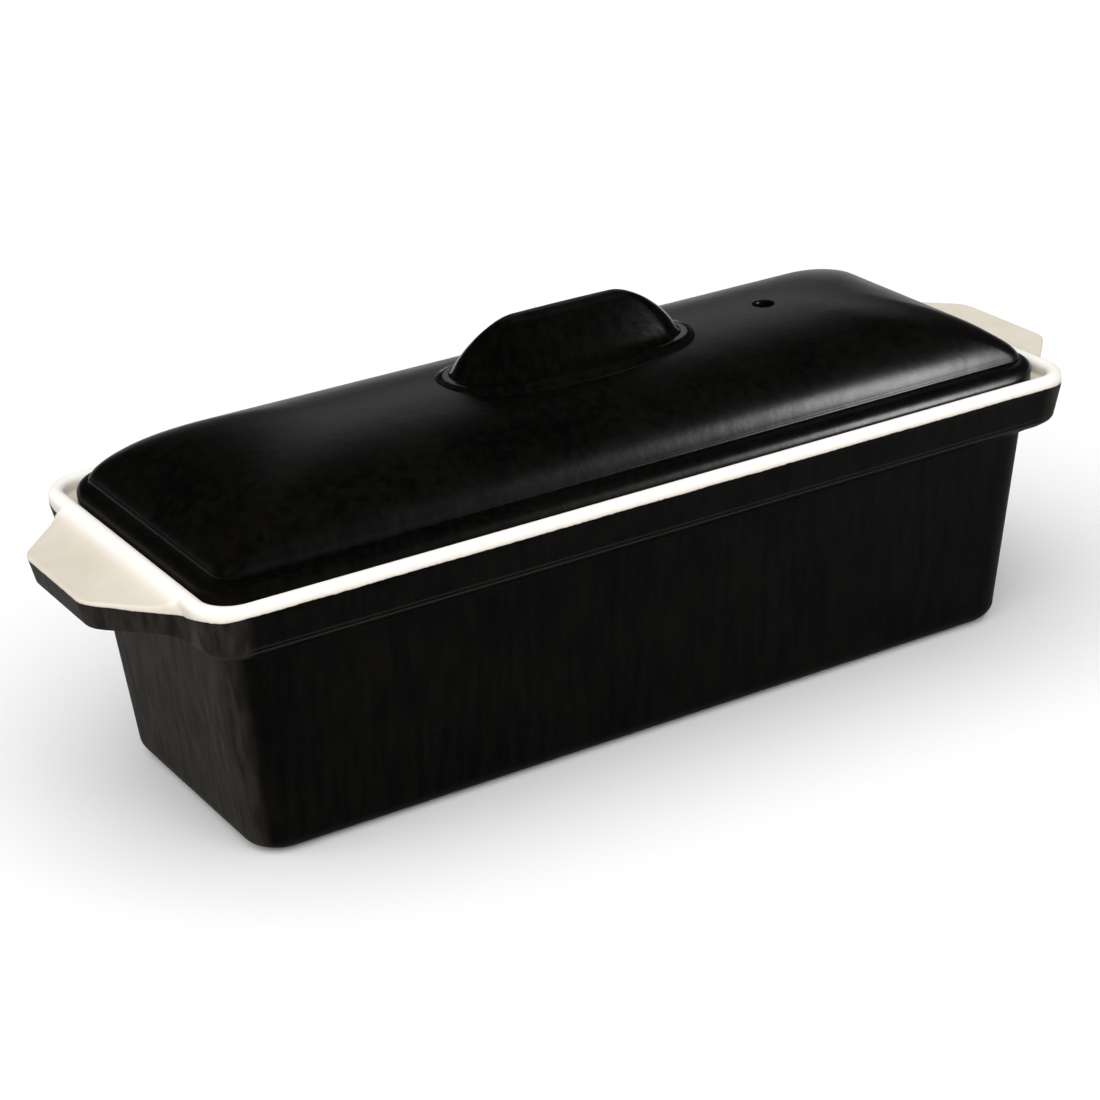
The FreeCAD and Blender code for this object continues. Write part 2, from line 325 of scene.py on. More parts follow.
def inner_section():
    """The dish's inside from the bead's crest over the ledge to the floor."""
    def cavity_inset(z):
        return BODY_INSET + WALL + (BODY_TOP - z) * DRAFT

    def cavity_corner(z):
        return CAVITY_CORNER - (BODY_TOP - z) * DRAFT

    floor_inset = cavity_inset(FLOOR)
    return rounded_path([
        ((BEAD - BEAD_RADIUS, RIM_TOP), 0, (RIM_CORNER - BEAD_RADIUS,)),
        ((BEAD, RIM_TOP), BEAD_RADIUS, (RIM_CORNER - BEAD,)),
        ((BEAD, LEDGE_Z), LEDGE_FILLET, (RIM_CORNER - BEAD,)),
        ((cavity_inset(LEDGE_Z), LEDGE_Z), LEDGE_EDGE, (cavity_corner(LEDGE_Z),)),
        ((floor_inset, FLOOR), FLOOR_EDGE, (cavity_corner(FLOOR),)),
        ((floor_inset + FLOOR_EDGE * 2, FLOOR), 0, (FLOOR_CORNER,)),
    ])


def ear_outline():
    """How far the ear stands beyond the rim's end, at each column's distance from the middle."""
    plan = rounded_path([
        ((EAR_REACH, 0), 0, ()),
        ((EAR_REACH, EAR_TIP_HALF_WIDTH), EAR_TIP_CORNER, ()),
        ((RIM_HALF_LENGTH - EAR_ROOT_SINK, EAR_ROOT_HALF_WIDTH), EAR_ROOT_CORNER, ()),
        ((RIM_HALF_LENGTH - EAR_ROOT_SINK, RIM_HALF_WIDTH), 0, ()),
    ], bend_steps=24)
    level = ring(dish_columns, 0, 0, RIM_CORNER)
    beyond = np.interp(level[:, 1], plan[:, 1], plan[:, 0]) - RIM_HALF_LENGTH
    beyond[len(dish_columns.end):] = -EAR_ROOT_SINK
    return beyond


def underside_height(beyond):
    """The ear's underside: it leaves the band's lower edge and levels out."""
    third = EAR_UNDERSIDE_RUN / 3
    share = np.sqrt(1 + np.maximum(beyond + BAND_BOTTOM_INSET, 0) / third) - 1
    share = np.minimum(share, 1.0)
    rise = EAR_TOP - EAR_THICKNESS - BAND_BOTTOM
    return BAND_BOTTOM + rise * (2 * share - share ** 2)


def topside_height(beyond):
    """The ear's top with the hollow round corner against the bead."""
    middle, height = cove_middle()
    inside = np.clip(middle - beyond, 0, EAR_COVE * 0.999)
    return height - np.sqrt(EAR_COVE ** 2 - inside ** 2)


# Points in each stretch of a section from the band's edge to the bead, and where the stretches of
# a section without an ear begin, as shares of its length
SECTION_SAMPLES = 400
EAR_STRETCHES = (10, 8, 5, 10, 12, 10)
PLAIN_MARKS = (0, 0.12, 0.26, 0.62, 0.76, 0.87, 1.0)


def ear_section(reach, start, end):
    """Side view of the ear where it stands out by reach, from the band's edge to the bead."""
    slope = EAR_DRAFT / EAR_THICKNESS
    heights = np.linspace(BAND_BOTTOM - 1, RIM_TOP, SECTION_SAMPLES)
    face = reach - (EAR_TOP - heights) * slope
    inside = (heights > underside_height(face)) & (heights < topside_height(face))
    face, heights = face[inside], heights[inside]
    below = np.linspace(start[0], face[0], 60)
    above = np.linspace(face[-1], end[0], 90)
    low = np.stack([below, np.maximum(underside_height(below), start[1])], axis=1)
    low[0] = start
    middle = np.stack([face, heights], axis=1)
    top = np.stack([above, topside_height(above)], axis=1)
    top[-1] = end
    path = np.concatenate([low, middle[1:], top[1:]])
    lengths = [np.linalg.norm(np.diff(part, axis=0), axis=1).sum() for part in (low, middle, top)]
    marks = ear_marks(*lengths)
    return resample(soften(path, EAR_EDGE), marks, EAR_STRETCHES)


def ear_marks(low, middle, top):
    """Places along the section between which its points are spread, close together at its bends."""
    window = EAR_EDGE * 1.3
    low_window, middle_window, top_window = (min(window, length * 0.4) for length in (low, middle, top))
    cove = min(EAR_COVE * QUARTER_TURN, top * 0.4)
    corner = low + middle
    total = corner + top
    return [0, low - low_window, low + middle_window, corner - middle_window, corner + top_window,
            total - cove, total]


def plain_section(start, end):
    """The same stretch of the rim where it has no ear."""
    heights = np.linspace(start[1], end[1], SECTION_SAMPLES)
    inset = np.interp(heights, outer_rows[:, 1], outer_rows[:, 0])
    beyond = -inset
    centre_inset, centre_z = bead_centre()
    above = heights > centre_z
    drop = np.sqrt(np.maximum(BEAD_RADIUS ** 2 - (heights[above] - centre_z) ** 2, 0))
    beyond[above] = -(centre_inset - drop)
    path = np.stack([beyond, heights], axis=1)
    lengths = np.linalg.norm(np.diff(path, axis=0), axis=1)
    return resample(path, np.array(PLAIN_MARKS) * lengths.sum(), EAR_STRETCHES)


outer_rows = outer_section()


def band_start():
    """The last row of the outside below the band's lower edge."""
    below = outer_rows[:, 1] < BAND_BOTTOM - BAND_EDGE * 0.25
    return outer_rows[np.nonzero(below)[0][-1]]


def line_height():
    """Height of the enamel line in each column: low round the ear, then up into the rim's."""
    aside = ring(dish_columns, 0, 0, RIM_CORNER)[:, 1]

    def passed(run):
        return smooth((aside - run[0]) / (run[1] - run[0]))

    climb = TIP_LINE_DROP + FLANK_LINE_DIP - RIM_LINE_DROP
    corner = np.zeros_like(aside)
    first = len(dish_columns.end)
    around = dish_columns.corner / QUARTER_TURN
    corner[first:first + len(around)] = np.sin(np.pi * around) ** 2
    line = RIM_TOP - TIP_LINE_DROP - FLANK_LINE_DIP * passed(FLANK_LINE_RUN)
    return line + climb * passed(ROOT_LINE_RUN) - CORNER_LINE_DIP * corner


def dish_rings():
    """All rings of the dish from under its middle to the middle of its floor.

    With them goes each point's height above the enamel line.
    """
    rings, above_line = [], []

    def add(points, gap):
        rings.append(points)
        above_line.append(np.broadcast_to(gap, len(points)))

    first_row = band_start()
    rest = ring(dish_columns, *outer_rows[0])
    add(collapsed(rest, rest[-1, 1]), -FAR_FROM_LINE)
    for inset, z, corner in outer_rows:
        if z <= first_row[1]:
            add(ring(dish_columns, inset, z, corner), -FAR_FROM_LINE)

    centre_inset, centre_z = bead_centre()
    start = np.array([-first_row[0], first_row[1]])
    angle = bead_start()
    end = np.array([BEAD_RADIUS * (math.cos(angle) - 1), centre_z + BEAD_RADIUS * math.sin(angle)])
    plain = plain_section(start, end)
    reaches = ear_outline()
    has_ear = smooth(reaches / EAR_FADE)
    line_z = line_height()
    sections = []
    for column, reach in enumerate(reaches):
        if has_ear[column] > 0:
            section = ear_section(reach, start, end)
            sections.append(plain + (section - plain) * has_ear[column])
        else:
            sections.append(plain)
    sections = np.array(sections)
    for row in range(1, sections.shape[1]):
        beyond, heights = sections[:, row, 0], sections[:, row, 1]
        inset = -plain[row, 0]
        points = ring(dish_columns, inset, 0, RIM_CORNER - inset)
        points[:, 0] += beyond - plain[row, 0]
        points[:, 2] = heights
        add(points, heights - line_z)

    for turn in np.linspace(angle, QUARTER_TURN, 9)[1:]:
        inset = centre_inset - BEAD_RADIUS * math.cos(turn)
        z = centre_z + BEAD_RADIUS * math.sin(turn)
        add(ring(dish_columns, inset, z, RIM_CORNER - inset), FAR_FROM_LINE)
    for inset, z, corner in inner_section():
        add(ring(dish_columns, inset, z, corner), FAR_FROM_LINE)
    add(collapsed(rings[-1], rings[-1][-1, 1]), FAR_FROM_LINE)
    return np.array(rings), np.array(above_line)


# Lid

lid_columns = Columns(30, 16, 44)


class Dome:
    """A dome on a long rounded rectangle: every level outline is one, and it narrows to the ridge."""

    def __init__(self, inset, rise, foot_corner):
        self.half_length = RIM_HALF_LENGTH - inset
        self.half_width = RIM_HALF_WIDTH - inset
        self.rise = rise
        self.foot_share = foot_corner / self.half_width

    def outline(self, turn):
        """Half-length, half-width and corner radius of the level where the side leans by turn."""
        level = np.cos(turn)
        half_width = self.half_width * level
        swept = DOME_END_SPREAD * (1 - smooth(np.sin(turn) / DOME_END_SWEEP))
        half_length = self.half_length - DOME_END_RUN * (1 - level) + swept
        spare = (DOME_CROWN_SHARE - self.foot_share) * level ** DOME_CORNER_POWER
        return half_length, half_width, half_width * (DOME_CROWN_SHARE - spare)

    def ring(self, turn):
        """The level outline where the side leans by turn."""
        half_length, half_width, corner = self.outline(turn)
        x, y = lid_columns.rectangle(half_length, half_width, corner)
        return np.stack([x, y, np.full_like(x, FLANGE_TOP + self.rise * math.sin(turn))], axis=1)

    def height(self, x, y):
        """Height of the dome over any place under it, found by halving."""
        low, high = np.zeros_like(x), np.full_like(x, QUARTER_TURN)
        for _ in range(40):
            turn = (low + high) / 2
            half_length, half_width, corner = self.outline(turn)
            past_x = np.abs(x) - (half_length - corner)
            past_y = np.abs(y) - (half_width - corner)
            outside = np.hypot(np.maximum(past_x, 0), np.maximum(past_y, 0))
            gap = outside + np.minimum(np.maximum(past_x, past_y), 0) - corner
            low, high = np.where(gap > 0, low, turn), np.where(gap > 0, turn, high)
        return FLANGE_TOP + self.rise * np.sin((low + high) / 2)


def outward(x, y):
    """Unit directions away from a quarter outline."""
    dx, dy = np.gradient(x), np.gradient(y)
    dx[-1], dy[-1] = -1, 0
    dx[0], dy[0] = 0, 1
    length = np.hypot(dx, dy)
    return dy / length, -dx / length


def flange_section():
    """The lid's edge from its hollow round the flange to the foot of the dome."""
    hollow_inset = DOME_INSET + LID_WALL
    return rounded_path([
        ((hollow_inset, FLANGE_TOP), 0, (DOME_CORNER - LID_WALL,)),
        ((hollow_inset, LEDGE_Z), HOLLOW_EDGE, (DOME_CORNER - LID_WALL,)),
        ((FLANGE_INSET, LEDGE_Z), FLANGE_UNDER_EDGE, (FLANGE_CORNER,)),
        ((FLANGE_INSET, FLANGE_TOP), FLANGE_EDGE, (FLANGE_CORNER,)),
        ((DOME_INSET, FLANGE_TOP), DOME_FOOT_COVE, (DOME_CORNER,)),
        ((DOME_INSET, FLANGE_TOP + DOME_FOOT_COVE * 1.1), 0, (DOME_CORNER,)),
    ], run_step=2.0)


def flange_ring(inset, z, corner):
    """One level outline of the lid's edge, drawn out at its ends towards the foot of the dome."""
    points = ring(lid_columns, inset, z, corner)
    past_fillet = (inset - FLANGE_INSET - FLANGE_EDGE) / (DOME_INSET - FLANGE_INSET - FLANGE_EDGE)
    points[:, 0] *= 1 + DOME_END_SPREAD * smooth(past_fillet) / points[0, 0]
    return points


def base_rings(dome):
    """The handle's base, from the hollow corner of its step on the dome up to the shelf."""
    x, y = lid_columns.oval(BASE_HALF_LENGTH, BASE_HALF_WIDTH)
    out_x, out_y = outward(x, y)
    rings = []
    for turn in np.linspace(0, QUARTER_TURN, 6):
        reach = BASE_COVE * (1 - math.sin(turn))
        foot_x, foot_y = x + out_x * reach, y + out_y * reach
        rise = BASE_STEP * (1 - math.cos(turn))
        rings.append(np.stack([foot_x, foot_y, dome.height(foot_x, foot_y) + rise], axis=1))
    edge = rings[-1]
    shelf_x, shelf_y = lid_columns.oval(SHELF_HALF_LENGTH, SHELF_HALF_WIDTH)
    slope = 2 / (2 - SHELF_ROUNDING)
    for share in np.linspace(0, 1, 19)[1:]:
        left = 1 - share
        bend = 1 - slope * left ** 2 / (2 * SHELF_ROUNDING)
        rise = slope * share if left > SHELF_ROUNDING else bend
        x = edge[:, 0] + (shelf_x - edge[:, 0]) * share
        y = edge[:, 1] + (shelf_y - edge[:, 1]) * share
        rings.append(np.stack([x, y, edge[:, 2] + (SHELF_TOP - edge[:, 2]) * rise], axis=1))
    return rings


def between(first, last, count):
    """Rings spread evenly between two rings, without them."""
    return [first + (last - first) * step / (count + 1) for step in range(1, count + 1)]


def approach_rings(dome, first, last):
    """Rings on the dome between one of its own rings and the foot of the handle's base."""
    rings = between(first, last, 29)
    for points in rings:
        points[:, 2] = dome.height(points[:, 0], points[:, 1])
    return rings


def fin_rings():
    """The handle from its hollow toe on the shelf to its rounded top."""
    rings = []
    tall = HANDLE_TOP - SHELF_TOP
    for share in np.linspace(0, 1, 45):
        rise = math.sin(QUARTER_TURN * share ** FIN_SPACING)
        reach = (1 - rise ** FIN_END_POWER) ** FIN_END_ROUNDNESS
        half_length = FIN_TOP_HALF_LENGTH + (FIN_FOOT_HALF_LENGTH - FIN_TOP_HALF_LENGTH) * reach
        half_width = FIN_TOP_HALF_WIDTH + (FIN_FOOT_HALF_WIDTH - FIN_TOP_HALF_WIDTH) * (1 - rise)
        toe = FIN_TOE * math.exp(-rise * tall / FIN_TOE_FADE)
        below_top = tall * (1 - rise)
        if below_top < FIN_TOP_RADIUS:
            lean = FIN_TOP_RADIUS - below_top
            half_width -= FIN_TOP_RADIUS - math.sqrt(max(FIN_TOP_RADIUS ** 2 - lean ** 2, 0))
        x, y = lid_columns.oval(half_length + toe, half_width + toe)
        rings.append(np.stack([x, y, np.full_like(x, SHELF_TOP + tall * rise)], axis=1))
    return rings


def lid_rings():
    """All rings of the lid from the crown of its hollow round the flange to the top of the handle."""
    hollow = Dome(DOME_INSET + LID_WALL, DOME_HEIGHT - LID_WALL, DOME_CORNER - LID_WALL)
    dome = Dome(DOME_INSET, DOME_HEIGHT, DOME_CORNER)
    rings = [hollow.ring(QUARTER_TURN * (1 - step / 30)) for step in range(30)]
    rings += [flange_ring(*row) for row in flange_section()]
    first_turn = math.asin(DOME_FOOT_COVE * 1.3 / DOME_HEIGHT)
    last_turn = math.acos((BASE_HALF_WIDTH + BASE_COVE * 5) / dome.half_width)
    rings += [dome.ring(turn) for turn in np.linspace(first_turn, last_turn, 40)]
    base = base_rings(dome)
    rings += approach_rings(dome, rings[-1], base[0]) + base
    fin = fin_rings()
    rings += between(base[-1], fin[0], 3)
    rings += fin
    ridge = fin[-1].copy()
    ridge[:, 1] = 0
    return np.array(rings + [ridge])


# Node trees

class Value:
    """A number on a node's socket, so that sums of it add their Math nodes."""

    def __init__(self, tree, socket):
        self.tree, self.socket = tree, socket

    def math(self, operation, *others):
        """This number and others through one Math node."""
        return self.tree.node("ShaderNodeMath", {"operation": operation}, [self, *others])

    def __add__(self, other):
        return self.math("ADD", other)

    def __sub__(self, other):
        return self.math("SUBTRACT", other)

    def __mul__(self, other):
        return self.math("MULTIPLY", other)

    def __truediv__(self, other):
        return self.math("DIVIDE", other)

    def __radd__(self, other):
        return self + other

    def __rsub__(self, other):
        return self.tree.node("ShaderNodeMath", {"operation": "SUBTRACT"}, [other, self])

    def above(self, edge, softness):
        """0 below an edge and 1 above it, with a soft step between."""
        settings = {"interpolation_type": "SMOOTHSTEP", "clamp": True}
        ends = {"Value": self, "From Min": edge - softness, "From Max": edge + softness}
        return self.tree.node("ShaderNodeMapRange", settings, ends)


class Tree:
    """Adds nodes to one node tree."""

    def __init__(self, tree):
        self.nodes, self.links = tree.nodes, tree.links

    def add(self, kind, settings=None, inputs=None):
        """Adds a node with its settings, and its inputs linked or set."""
        made = self.nodes.new(kind)
        for name, setting in (settings or {}).items():
            setattr(made, name, setting)
        named = inputs.items() if isinstance(inputs, dict) else enumerate(inputs or [])
        for name, given in named:
            socket = made.inputs[name]
            if isinstance(given, Value):
                self.links.new(given.socket, socket)
            else:
                socket.default_value = given
        return made

    def node(self, kind, settings=None, inputs=None, output=0):
        """Adds a node and returns one output of it."""
        return Value(self, self.add(kind, settings, inputs).outputs[output])

    def mix(self, factor, first, second):
        """Mixes two colours."""
        sockets = {0: factor, 6: first, 7: second}
        return self.node("ShaderNodeMix", {"data_type": "RGBA"}, sockets, 2)

    def axis_mm(self, place, axis):
        """One coordinate of a place, in millimetres."""
        return self.node("ShaderNodeSeparateXYZ", None, {"Vector": place}, axis) / MM

    def dress(self, shader, colour, roughness, height, relief):
        """Links a shader's colour and roughness, and its bumps of a height in millimetres."""
        bump = self.node("ShaderNodeBump", None, {"Strength": relief, "Distance": MM, "Height": height})
        self.links.new(colour.socket, shader.inputs["Base Color"])
        self.links.new(roughness.socket, shader.inputs["Roughness"])
        self.links.new(bump.socket, shader.inputs["Normal"])

    def noise(self, place, size_mm, detail=2.0, stretch=(1.0, 1.0, 1.0)):
        """Soft noise from 0 to 1 with features of one size, drawn out by a stretch."""
        scale = tuple(1 / (MM * size_mm * amount) for amount in stretch)
        drawn = self.node("ShaderNodeMapping", None, {"Vector": place, "Scale": scale})
        inputs = {"Vector": drawn, "Scale": 1.0, "Detail": detail, "Roughness": 0.5}
        return self.node("ShaderNodeTexNoise", None, inputs)


def grey(level):
    """A grey of one level."""
    return (level, level, level, 1.0)


def new_material(name):
    """An empty node material, as its tree, its shader and its object coordinates."""
    material = bpy.data.materials.new(name)
    material.use_nodes = True
    material.node_tree.nodes.clear()
    tree = Tree(material.node_tree)
    shader = tree.add("ShaderNodeBsdfPrincipled")
    output = tree.add("ShaderNodeOutputMaterial")
    tree.links.new(shader.outputs[0], output.inputs["Surface"])
    place = tree.node("ShaderNodeTexCoord", None, None, "Object")
    return material, tree, shader, place


# Colours of the enamels
BLACK = (0.0007, 0.0007, 0.0006, 1.0)
WORN_BLACK = (0.0032, 0.0029, 0.0024, 1.0)
# Painted reflection: a lighter streaked brown for the end walls, standing in for the bright floor their
# black reflects, over the enamel's streaky mottling
END_WALL_PAINTED_REFLECTION = (0.024, 0.0205, 0.017, 1.0)
# Painted highlight: the colour of two thin lighter lines along the band's lower edge
EDGE_PAINTED_HIGHLIGHT = (0.017, 0.016, 0.014, 1.0)
# Painted shade and light: the ear's cream is painted darker than the bead's, and the bead's lighter,
# for how light falls on them; the noise between the ear's two creams is its own uneven tone
EAR_CREAM_PAINTED_SHADE_DARK = (0.66, 0.595, 0.50, 1.0)
EAR_CREAM_PAINTED_SHADE = (0.73, 0.67, 0.575, 1.0)
BEAD_CREAM_PAINTED_LIGHT = (0.90, 0.872, 0.822, 1.0)
THIN_CREAM = (0.42, 0.36, 0.28, 1.0)

# Their roughness
LID_ROUGHNESS = 0.25
HANDLE_SMOOTHING = 0.5
HANDLE_TOP_DULLING = 0.3
DISH_BLACK_ROUGHNESS = 0.42
CREAM_ROUGHNESS = 0.26

# Their relief and shine
LID_RELIEF = 0.55
DISH_RELIEF = 0.5
LINE_STEP = 0.08
LID_SHINE = 0.09
DISH_SHINE = 0.02


def black_surface(tree, place):
    """Colour, roughness and height of the black enamel, with orange peel, clouds and faint drips."""
    peel = tree.noise(place, 1.6, 3.0)
    waves = tree.noise(place, 9.0, 1.0)
    drips = tree.noise(place, 2.6, 2.0, (1.0, 1.0, 8.0))
    cloud = tree.noise(place, 22.0, 3.0)
    tone = drips * 0.45 + cloud * 0.35 + peel * 0.2
    roughness = cloud * 0.07 + peel * 0.05 + drips * 0.04
    height = peel * 0.05 + waves * 0.2 + drips * 0.05
    return tree.mix(tone.above(0.5, 0.16), BLACK, WORN_BLACK), roughness, height


def black_enamel():
    """The lid's satin black, rubbed smooth on the handle's sides and dull along its top."""
    material, tree, shader, place = new_material("lid_enamel")
    colour, roughness, height = black_surface(tree, place)
    height_mm = tree.axis_mm(place, "Z")
    handled = height_mm.above(SHELF_TOP - 0.4, 0.3)
    worn_top = height_mm.above(HANDLE_TOP - 1.3, 0.6)
    smoothed = (roughness + LID_ROUGHNESS) * (1 - handled * HANDLE_SMOOTHING)
    tree.dress(shader, colour, smoothed + worn_top * HANDLE_TOP_DULLING, height, LID_RELIEF)
    shader.inputs["Specular IOR Level"].default_value = LID_SHINE
    return material


def end_wall(tree, place, height_mm):
    """1 on the two end walls below the band and 0 elsewhere, with soft borders."""
    from_middle = tree.axis_mm(place, "X").math("ABSOLUTE")
    foot = RIM_HALF_LENGTH - BODY_INSET - BODY_TOP * DRAFT - BODY_CORNER * 0.3
    return (from_middle - height_mm * DRAFT).above(foot, 2.0)


def painted_highlight_lines(height_mm):
    """Two thin painted highlight lines, close together, along the band's lower edge."""
    edge = height_mm.above(BAND_BOTTOM - 0.1, 0.25) - height_mm.above(BAND_BOTTOM + 0.6, 0.25)
    higher = height_mm.above(BAND_BOTTOM + 1.4, 0.2) - height_mm.above(BAND_BOTTOM + 1.9, 0.2)
    return edge + higher * 0.6


def dish_enamel():
    """Black outside and cream inside, parted by a line that was wiped by hand along the rim."""
    material, tree, shader, place = new_material("dish_enamel")
    height_mm = tree.axis_mm(place, "Z")
    black, black_roughness, height = black_surface(tree, place)
    # The end walls below the band are painted a lighter streaked brown: a painted reflection of the
    # bright floor on their black, over the enamel's streaky mottling.
    streaks = tree.noise(place, 2.2, 3.0, (1.0, 1.0, 7.0)).above(0.5, 0.2)
    end_wall_painted_reflection = end_wall(tree, place, height_mm) * (0.35 + streaks * 0.65)
    black = tree.mix(end_wall_painted_reflection, black, END_WALL_PAINTED_REFLECTION)
    # Painted highlights: two thin lighter lines along the band's lower edge
    black = tree.mix(painted_highlight_lines(height_mm), black, EDGE_PAINTED_HIGHLIGHT)

    gap = tree.node("ShaderNodeAttribute", {"attribute_name": "above_line"}, None, "Fac")
    wander = tree.noise(place, 14.0, 2.0) * 0.5 + tree.noise(place, 1.6, 2.0) * 0.4
    line = gap + wander - 0.45
    pale = line.above(0.0, 0.09)
    # Painted shade and light: the ear below is painted a darker cream than the bead above it, for how
    # light falls on them; the noise between the ear's two creams is its own uneven tone.
    ear_painted_shade = tree.mix(tree.noise(place, 18.0, 3.0).above(0.5, 0.3), EAR_CREAM_PAINTED_SHADE_DARK, EAR_CREAM_PAINTED_SHADE)
    cream = tree.mix(height_mm.above(EAR_TOP + 1.6, 1.3), ear_painted_shade, BEAD_CREAM_PAINTED_LIGHT)
    thin = 1 - line.above(0.35, 0.35)
    cream = tree.mix(thin * 0.35, cream, THIN_CREAM)

    roughness = (black_roughness + DISH_BLACK_ROUGHNESS) * (1 - pale) + pale * CREAM_ROUGHNESS
    height += pale * LINE_STEP
    tree.dress(shader, tree.mix(pale, black, cream), roughness, height, DISH_RELIEF)
    shader.inputs["Specular IOR Level"].default_value = DISH_SHINE
    return material


def floor_paint():
    """A matt white."""
    material, _, shader, _ = new_material("floor_paint")
    shader.inputs["Base Color"].default_value = grey(0.98)
    shader.inputs["Roughness"].default_value = 0.9
    shader.inputs["Specular IOR Level"].default_value = 0.0
    return material


# From rings to a whole piece

SEAM_WIDTH = 0.004


def mirror_tree():
    """Geometry nodes that turn one quarter of a piece into the whole, joined at its middle planes."""
    group = bpy.data.node_groups.new("mirror_quarters", "GeometryNodeTree")
    for name, direction, kind in (("Geometry", "INPUT", "Geometry"), ("Seam Width", "INPUT", "Float"),
                                  ("Finish", "INPUT", "Material"), ("Geometry", "OUTPUT", "Geometry")):
        group.interface.new_socket(name, in_out=direction, socket_type="NodeSocket" + kind)
    tree = Tree(group)
    given = tree.add("NodeGroupInput")
    whole = Value(tree, given.outputs["Geometry"])
    for scale in ((-1, 1, 1), (1, -1, 1)):
        turned = tree.node("GeometryNodeTransform", None, {"Geometry": whole, "Scale": scale})
        turned = tree.node("GeometryNodeFlipFaces", None, {"Mesh": turned})
        join = tree.add("GeometryNodeJoinGeometry")
        tree.links.new(whole.socket, join.inputs[0])
        tree.links.new(turned.socket, join.inputs[0])
        whole = Value(tree, join.outputs[0])
    seam = Value(tree, given.outputs["Seam Width"])
    whole = tree.node("GeometryNodeMergeByDistance", None, {"Geometry": whole, "Distance": seam})
    whole = tree.node("GeometryNodeSetShadeSmooth", None, {"Geometry": whole, "Shade Smooth": True})
    whole = tree.node("GeometryNodeRealizeInstances", None, {"Geometry": whole})
    finish = Value(tree, given.outputs["Finish"])
    whole = tree.node("GeometryNodeSetMaterial", None, {"Geometry": whole, "Material": finish})
    output = tree.add("NodeGroupOutput")
    tree.links.new(whole.socket, output.inputs["Geometry"])
    return group


def place_in_scene(name, data):
    """A new object of a mesh, light or camera, linked to the scene."""
    made = bpy.data.objects.new(name, data)
    bpy.context.scene.collection.objects.link(made)
    return made


def plain_mesh(piece):
    """Turns what a piece's modifiers make into its own mesh and removes them."""
    graph = bpy.context.evaluated_depsgraph_get()
    made = bpy.data.meshes.new_from_object(piece.evaluated_get(graph))
    piece.modifiers.clear()
    piece.data = made


def whole_piece(name, rings, material, above_line=None):
    """A piece from the rings of its first quarter."""
    levels, count, _ = rings.shape
    first = np.arange(levels - 1)[:, None] * count + np.arange(count - 1)[None, :]
    faces = np.stack([first, first + 1, first + count + 1, first + count], axis=-1).reshape(-1, 4)
    mesh = bpy.data.meshes.new(name)
    mesh.from_pydata((rings.reshape(-1, 3) * MM).tolist(), [], faces.tolist())
    mesh.materials.append(material)
    if above_line is not None:
        attribute = mesh.attributes.new("above_line", "FLOAT", "POINT")
        attribute.data.foreach_set("value", above_line.reshape(-1).astype(np.float32))
    piece = place_in_scene(name, mesh)
    modifier = piece.modifiers.new("quarters", "NODES")
    modifier.node_group = mirror_quarters
    sockets = {item.name: item.identifier for item in mirror_quarters.interface.items_tree
               if item.in_out == "INPUT"}
    modifier[sockets["Seam Width"]] = SEAM_WIDTH * MM
    modifier[sockets["Finish"]] = material
    bpy.context.view_layer.update()
    plain_mesh(piece)
    return piece


def drill_vent(lid):
    """Cuts the steam vent, with a rounded mouth, through the lid's crown."""
    profile = [(VENT_RADIUS, CROWN - LID_WALL * 2), (VENT_RADIUS, CROWN - VENT_EDGE)]
    for turn in np.linspace(0, QUARTER_TURN, 7)[1:]:
        profile.append((VENT_RADIUS + VENT_EDGE * (1 - math.cos(turn)),
                        CROWN - VENT_EDGE * (1 - math.sin(turn))))
    profile.append((profile[-1][0], CROWN + LID_WALL))
    around = 48
    turns = [math.tau * side / around for side in range(around)]
    corners = [(VENT_X + radius * math.cos(turn), radius * math.sin(turn), z)
               for radius, z in profile for turn in turns]
    faces = [[level * around + side, level * around + (side + 1) % around,
              (level + 1) * around + (side + 1) % around, (level + 1) * around + side]
             for level in range(len(profile) - 1) for side in range(around)]
    faces.append(list(range(around))[::-1])
    faces.append([(len(profile) - 1) * around + side for side in range(around)])
    mesh = bpy.data.meshes.new("drill")
    mesh.from_pydata([[value * MM for value in corner] for corner in corners], [], faces)
    mesh.materials.append(lid.data.materials[0])
    drill = place_in_scene("drill", mesh)
    cut = lid.modifiers.new("vent", "BOOLEAN")
    cut.operation, cut.solver, cut.object = "DIFFERENCE", "EXACT", drill
    bpy.context.view_layer.update()
    plain_mesh(lid)
    bpy.data.objects.remove(drill)


mirror_quarters = mirror_tree()
dish_shape, dish_line = dish_rings()
dish = whole_piece("dish_shell", dish_shape, dish_enamel(), dish_line)
lid = whole_piece("lid_shell", lid_rings(), black_enamel())
drill_vent(lid)
for piece, node in ((dish, "dish"), (lid, "lid")):
    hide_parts(node)
    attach(piece, "root")


# Floor, light and camera

FLOOR_HALF_WIDTH_M = 20.0
WORLD_LEVEL = 0.03

# The camera that took the photograph, worked out from the rim's corners and the foot
CAMERA_ANGLES = (-30.579, 24.032, -2.773)
CAMERA_PLACE = (-403.96, -674.39, 391.77)
CAMERA_LENS = 95.475
CAMERA_SHIFT = (-0.00866, 0.00417)


def make_floor():
    """A wide flat floor under the dish."""
    half = FLOOR_HALF_WIDTH_M
    mesh = bpy.data.meshes.new("floor")
    corners = [(-half, -half, 0), (half, -half, 0), (half, half, 0), (-half, half, 0)]
    mesh.from_pydata(corners, [], [(0, 1, 2, 3)])
    mesh.materials.append(floor_paint())
    place_in_scene("floor", mesh)


def add_lamp(name, light, strength, towards, in_reflections):
    """Places a light that shines from a direction, either in reflections alone or outside them."""
    light.energy = strength
    lamp = place_in_scene(name, light)
    lamp.visible_glossy, lamp.visible_diffuse = in_reflections, not in_reflections
    lamp.rotation_mode = "QUATERNION"
    lamp.rotation_quaternion = Vector(towards).to_track_quat("Z", "Y")
    return lamp


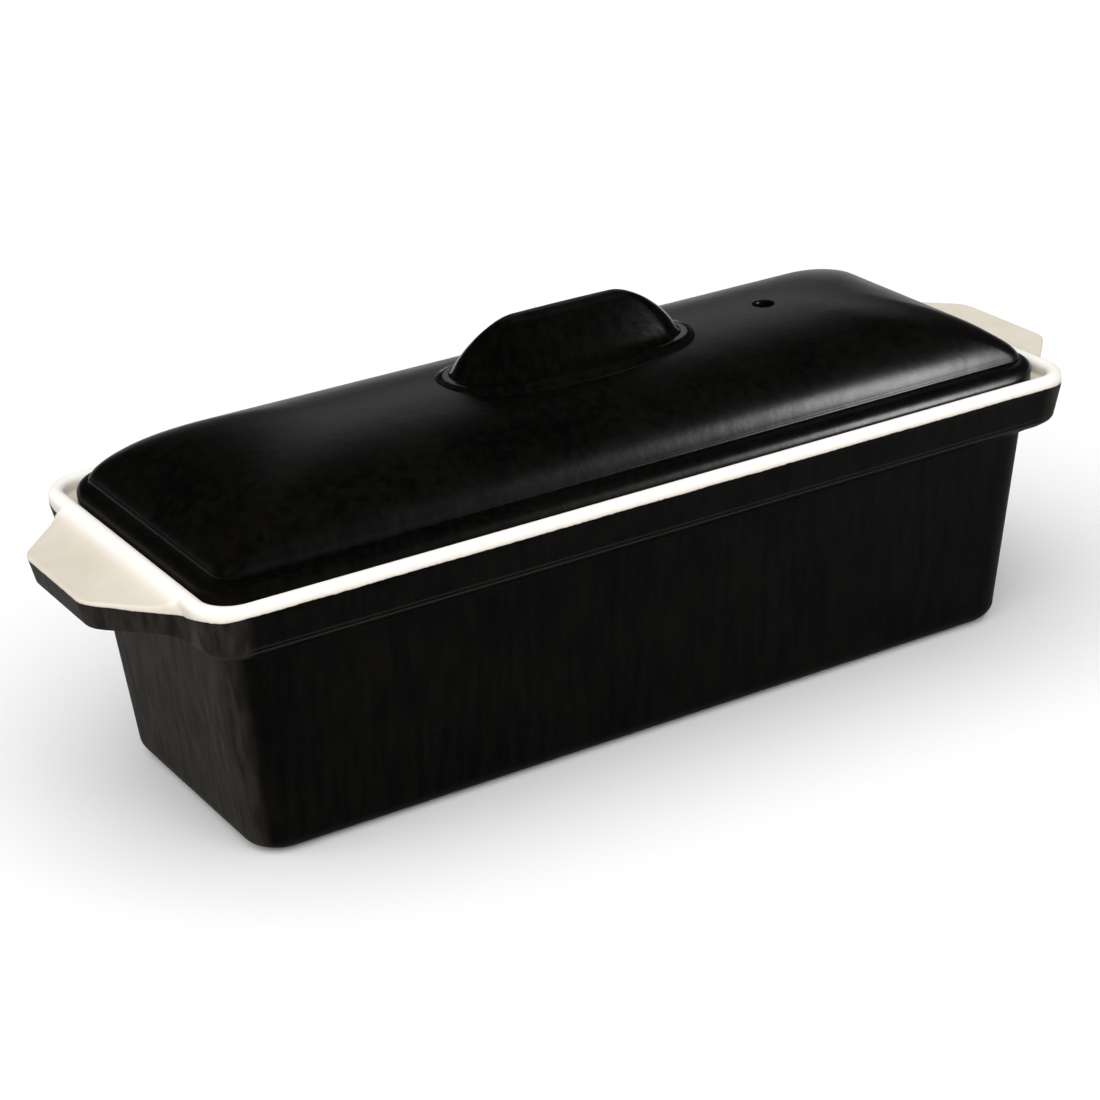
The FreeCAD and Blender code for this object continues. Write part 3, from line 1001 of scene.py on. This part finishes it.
def add_far_light(name, towards, strength, spread, in_reflections=False):
    """A far soft light that shines from one direction, as wide as its spread in degrees."""
    light = bpy.data.lights.new(name, "SUN")
    light.angle = math.radians(spread)
    add_lamp(name, light, strength, towards, in_reflections)


def add_near_light(name, place, target, strength, size, cone):
    """A near oval light in millimetres that shines at a target within a cone in degrees."""
    light = bpy.data.lights.new(name, "AREA")
    light.shape = "ELLIPSE"
    light.size, light.size_y = size[0] * MM, size[1] * MM
    light.spread = math.radians(cone)
    lamp = add_lamp(name, light, strength, Vector(place) - Vector(target), True)
    lamp.location = Vector(place) * MM


def set_world(level):
    """A plain grey surrounding."""
    world = bpy.data.worlds.new("studio")
    world.use_nodes = True
    world.node_tree.nodes["Background"].inputs["Color"].default_value = grey(level)
    bpy.context.scene.world = world


def make_camera():
    """The photograph's camera."""
    azimuth, elevation, roll = (math.radians(angle) for angle in CAMERA_ANGLES)
    level = math.cos(elevation)
    back = Vector((math.sin(azimuth) * level, -math.cos(azimuth) * level, math.sin(elevation)))
    right = Vector((math.cos(azimuth), math.sin(azimuth), 0))
    up = back.cross(right)
    tilted_right = math.cos(roll) * right + math.sin(roll) * up
    tilted_up = math.cos(roll) * up - math.sin(roll) * right
    camera = bpy.data.cameras.new("camera")
    camera.sensor_width = 36.0
    camera.lens = CAMERA_LENS
    camera.shift_x, camera.shift_y = CAMERA_SHIFT
    camera.clip_start, camera.clip_end = 0.05, 100.0
    holder = place_in_scene("camera", camera)
    turned = Matrix((tilted_right, tilted_up, back)).transposed().to_4x4()
    holder.matrix_world = Matrix.Translation(Vector(CAMERA_PLACE) * MM) @ turned
    bpy.context.scene.camera = holder


make_floor()
set_world(WORLD_LEVEL)
add_far_light("overhead", (-0.35, -0.25, 0.90), 3.3, 110)
add_far_light("fill", (-0.15, -0.90, 0.40), 0.8, 70)
add_far_light("back", (0.49, 0.77, 0.42), 0.13, 25, in_reflections=True)
add_near_light("window", (212, -216, 150), (100, -40, 90), 0.98, (44, 190), 120)
make_camera()
bpy.context.scene.view_settings.view_transform = "Standard"
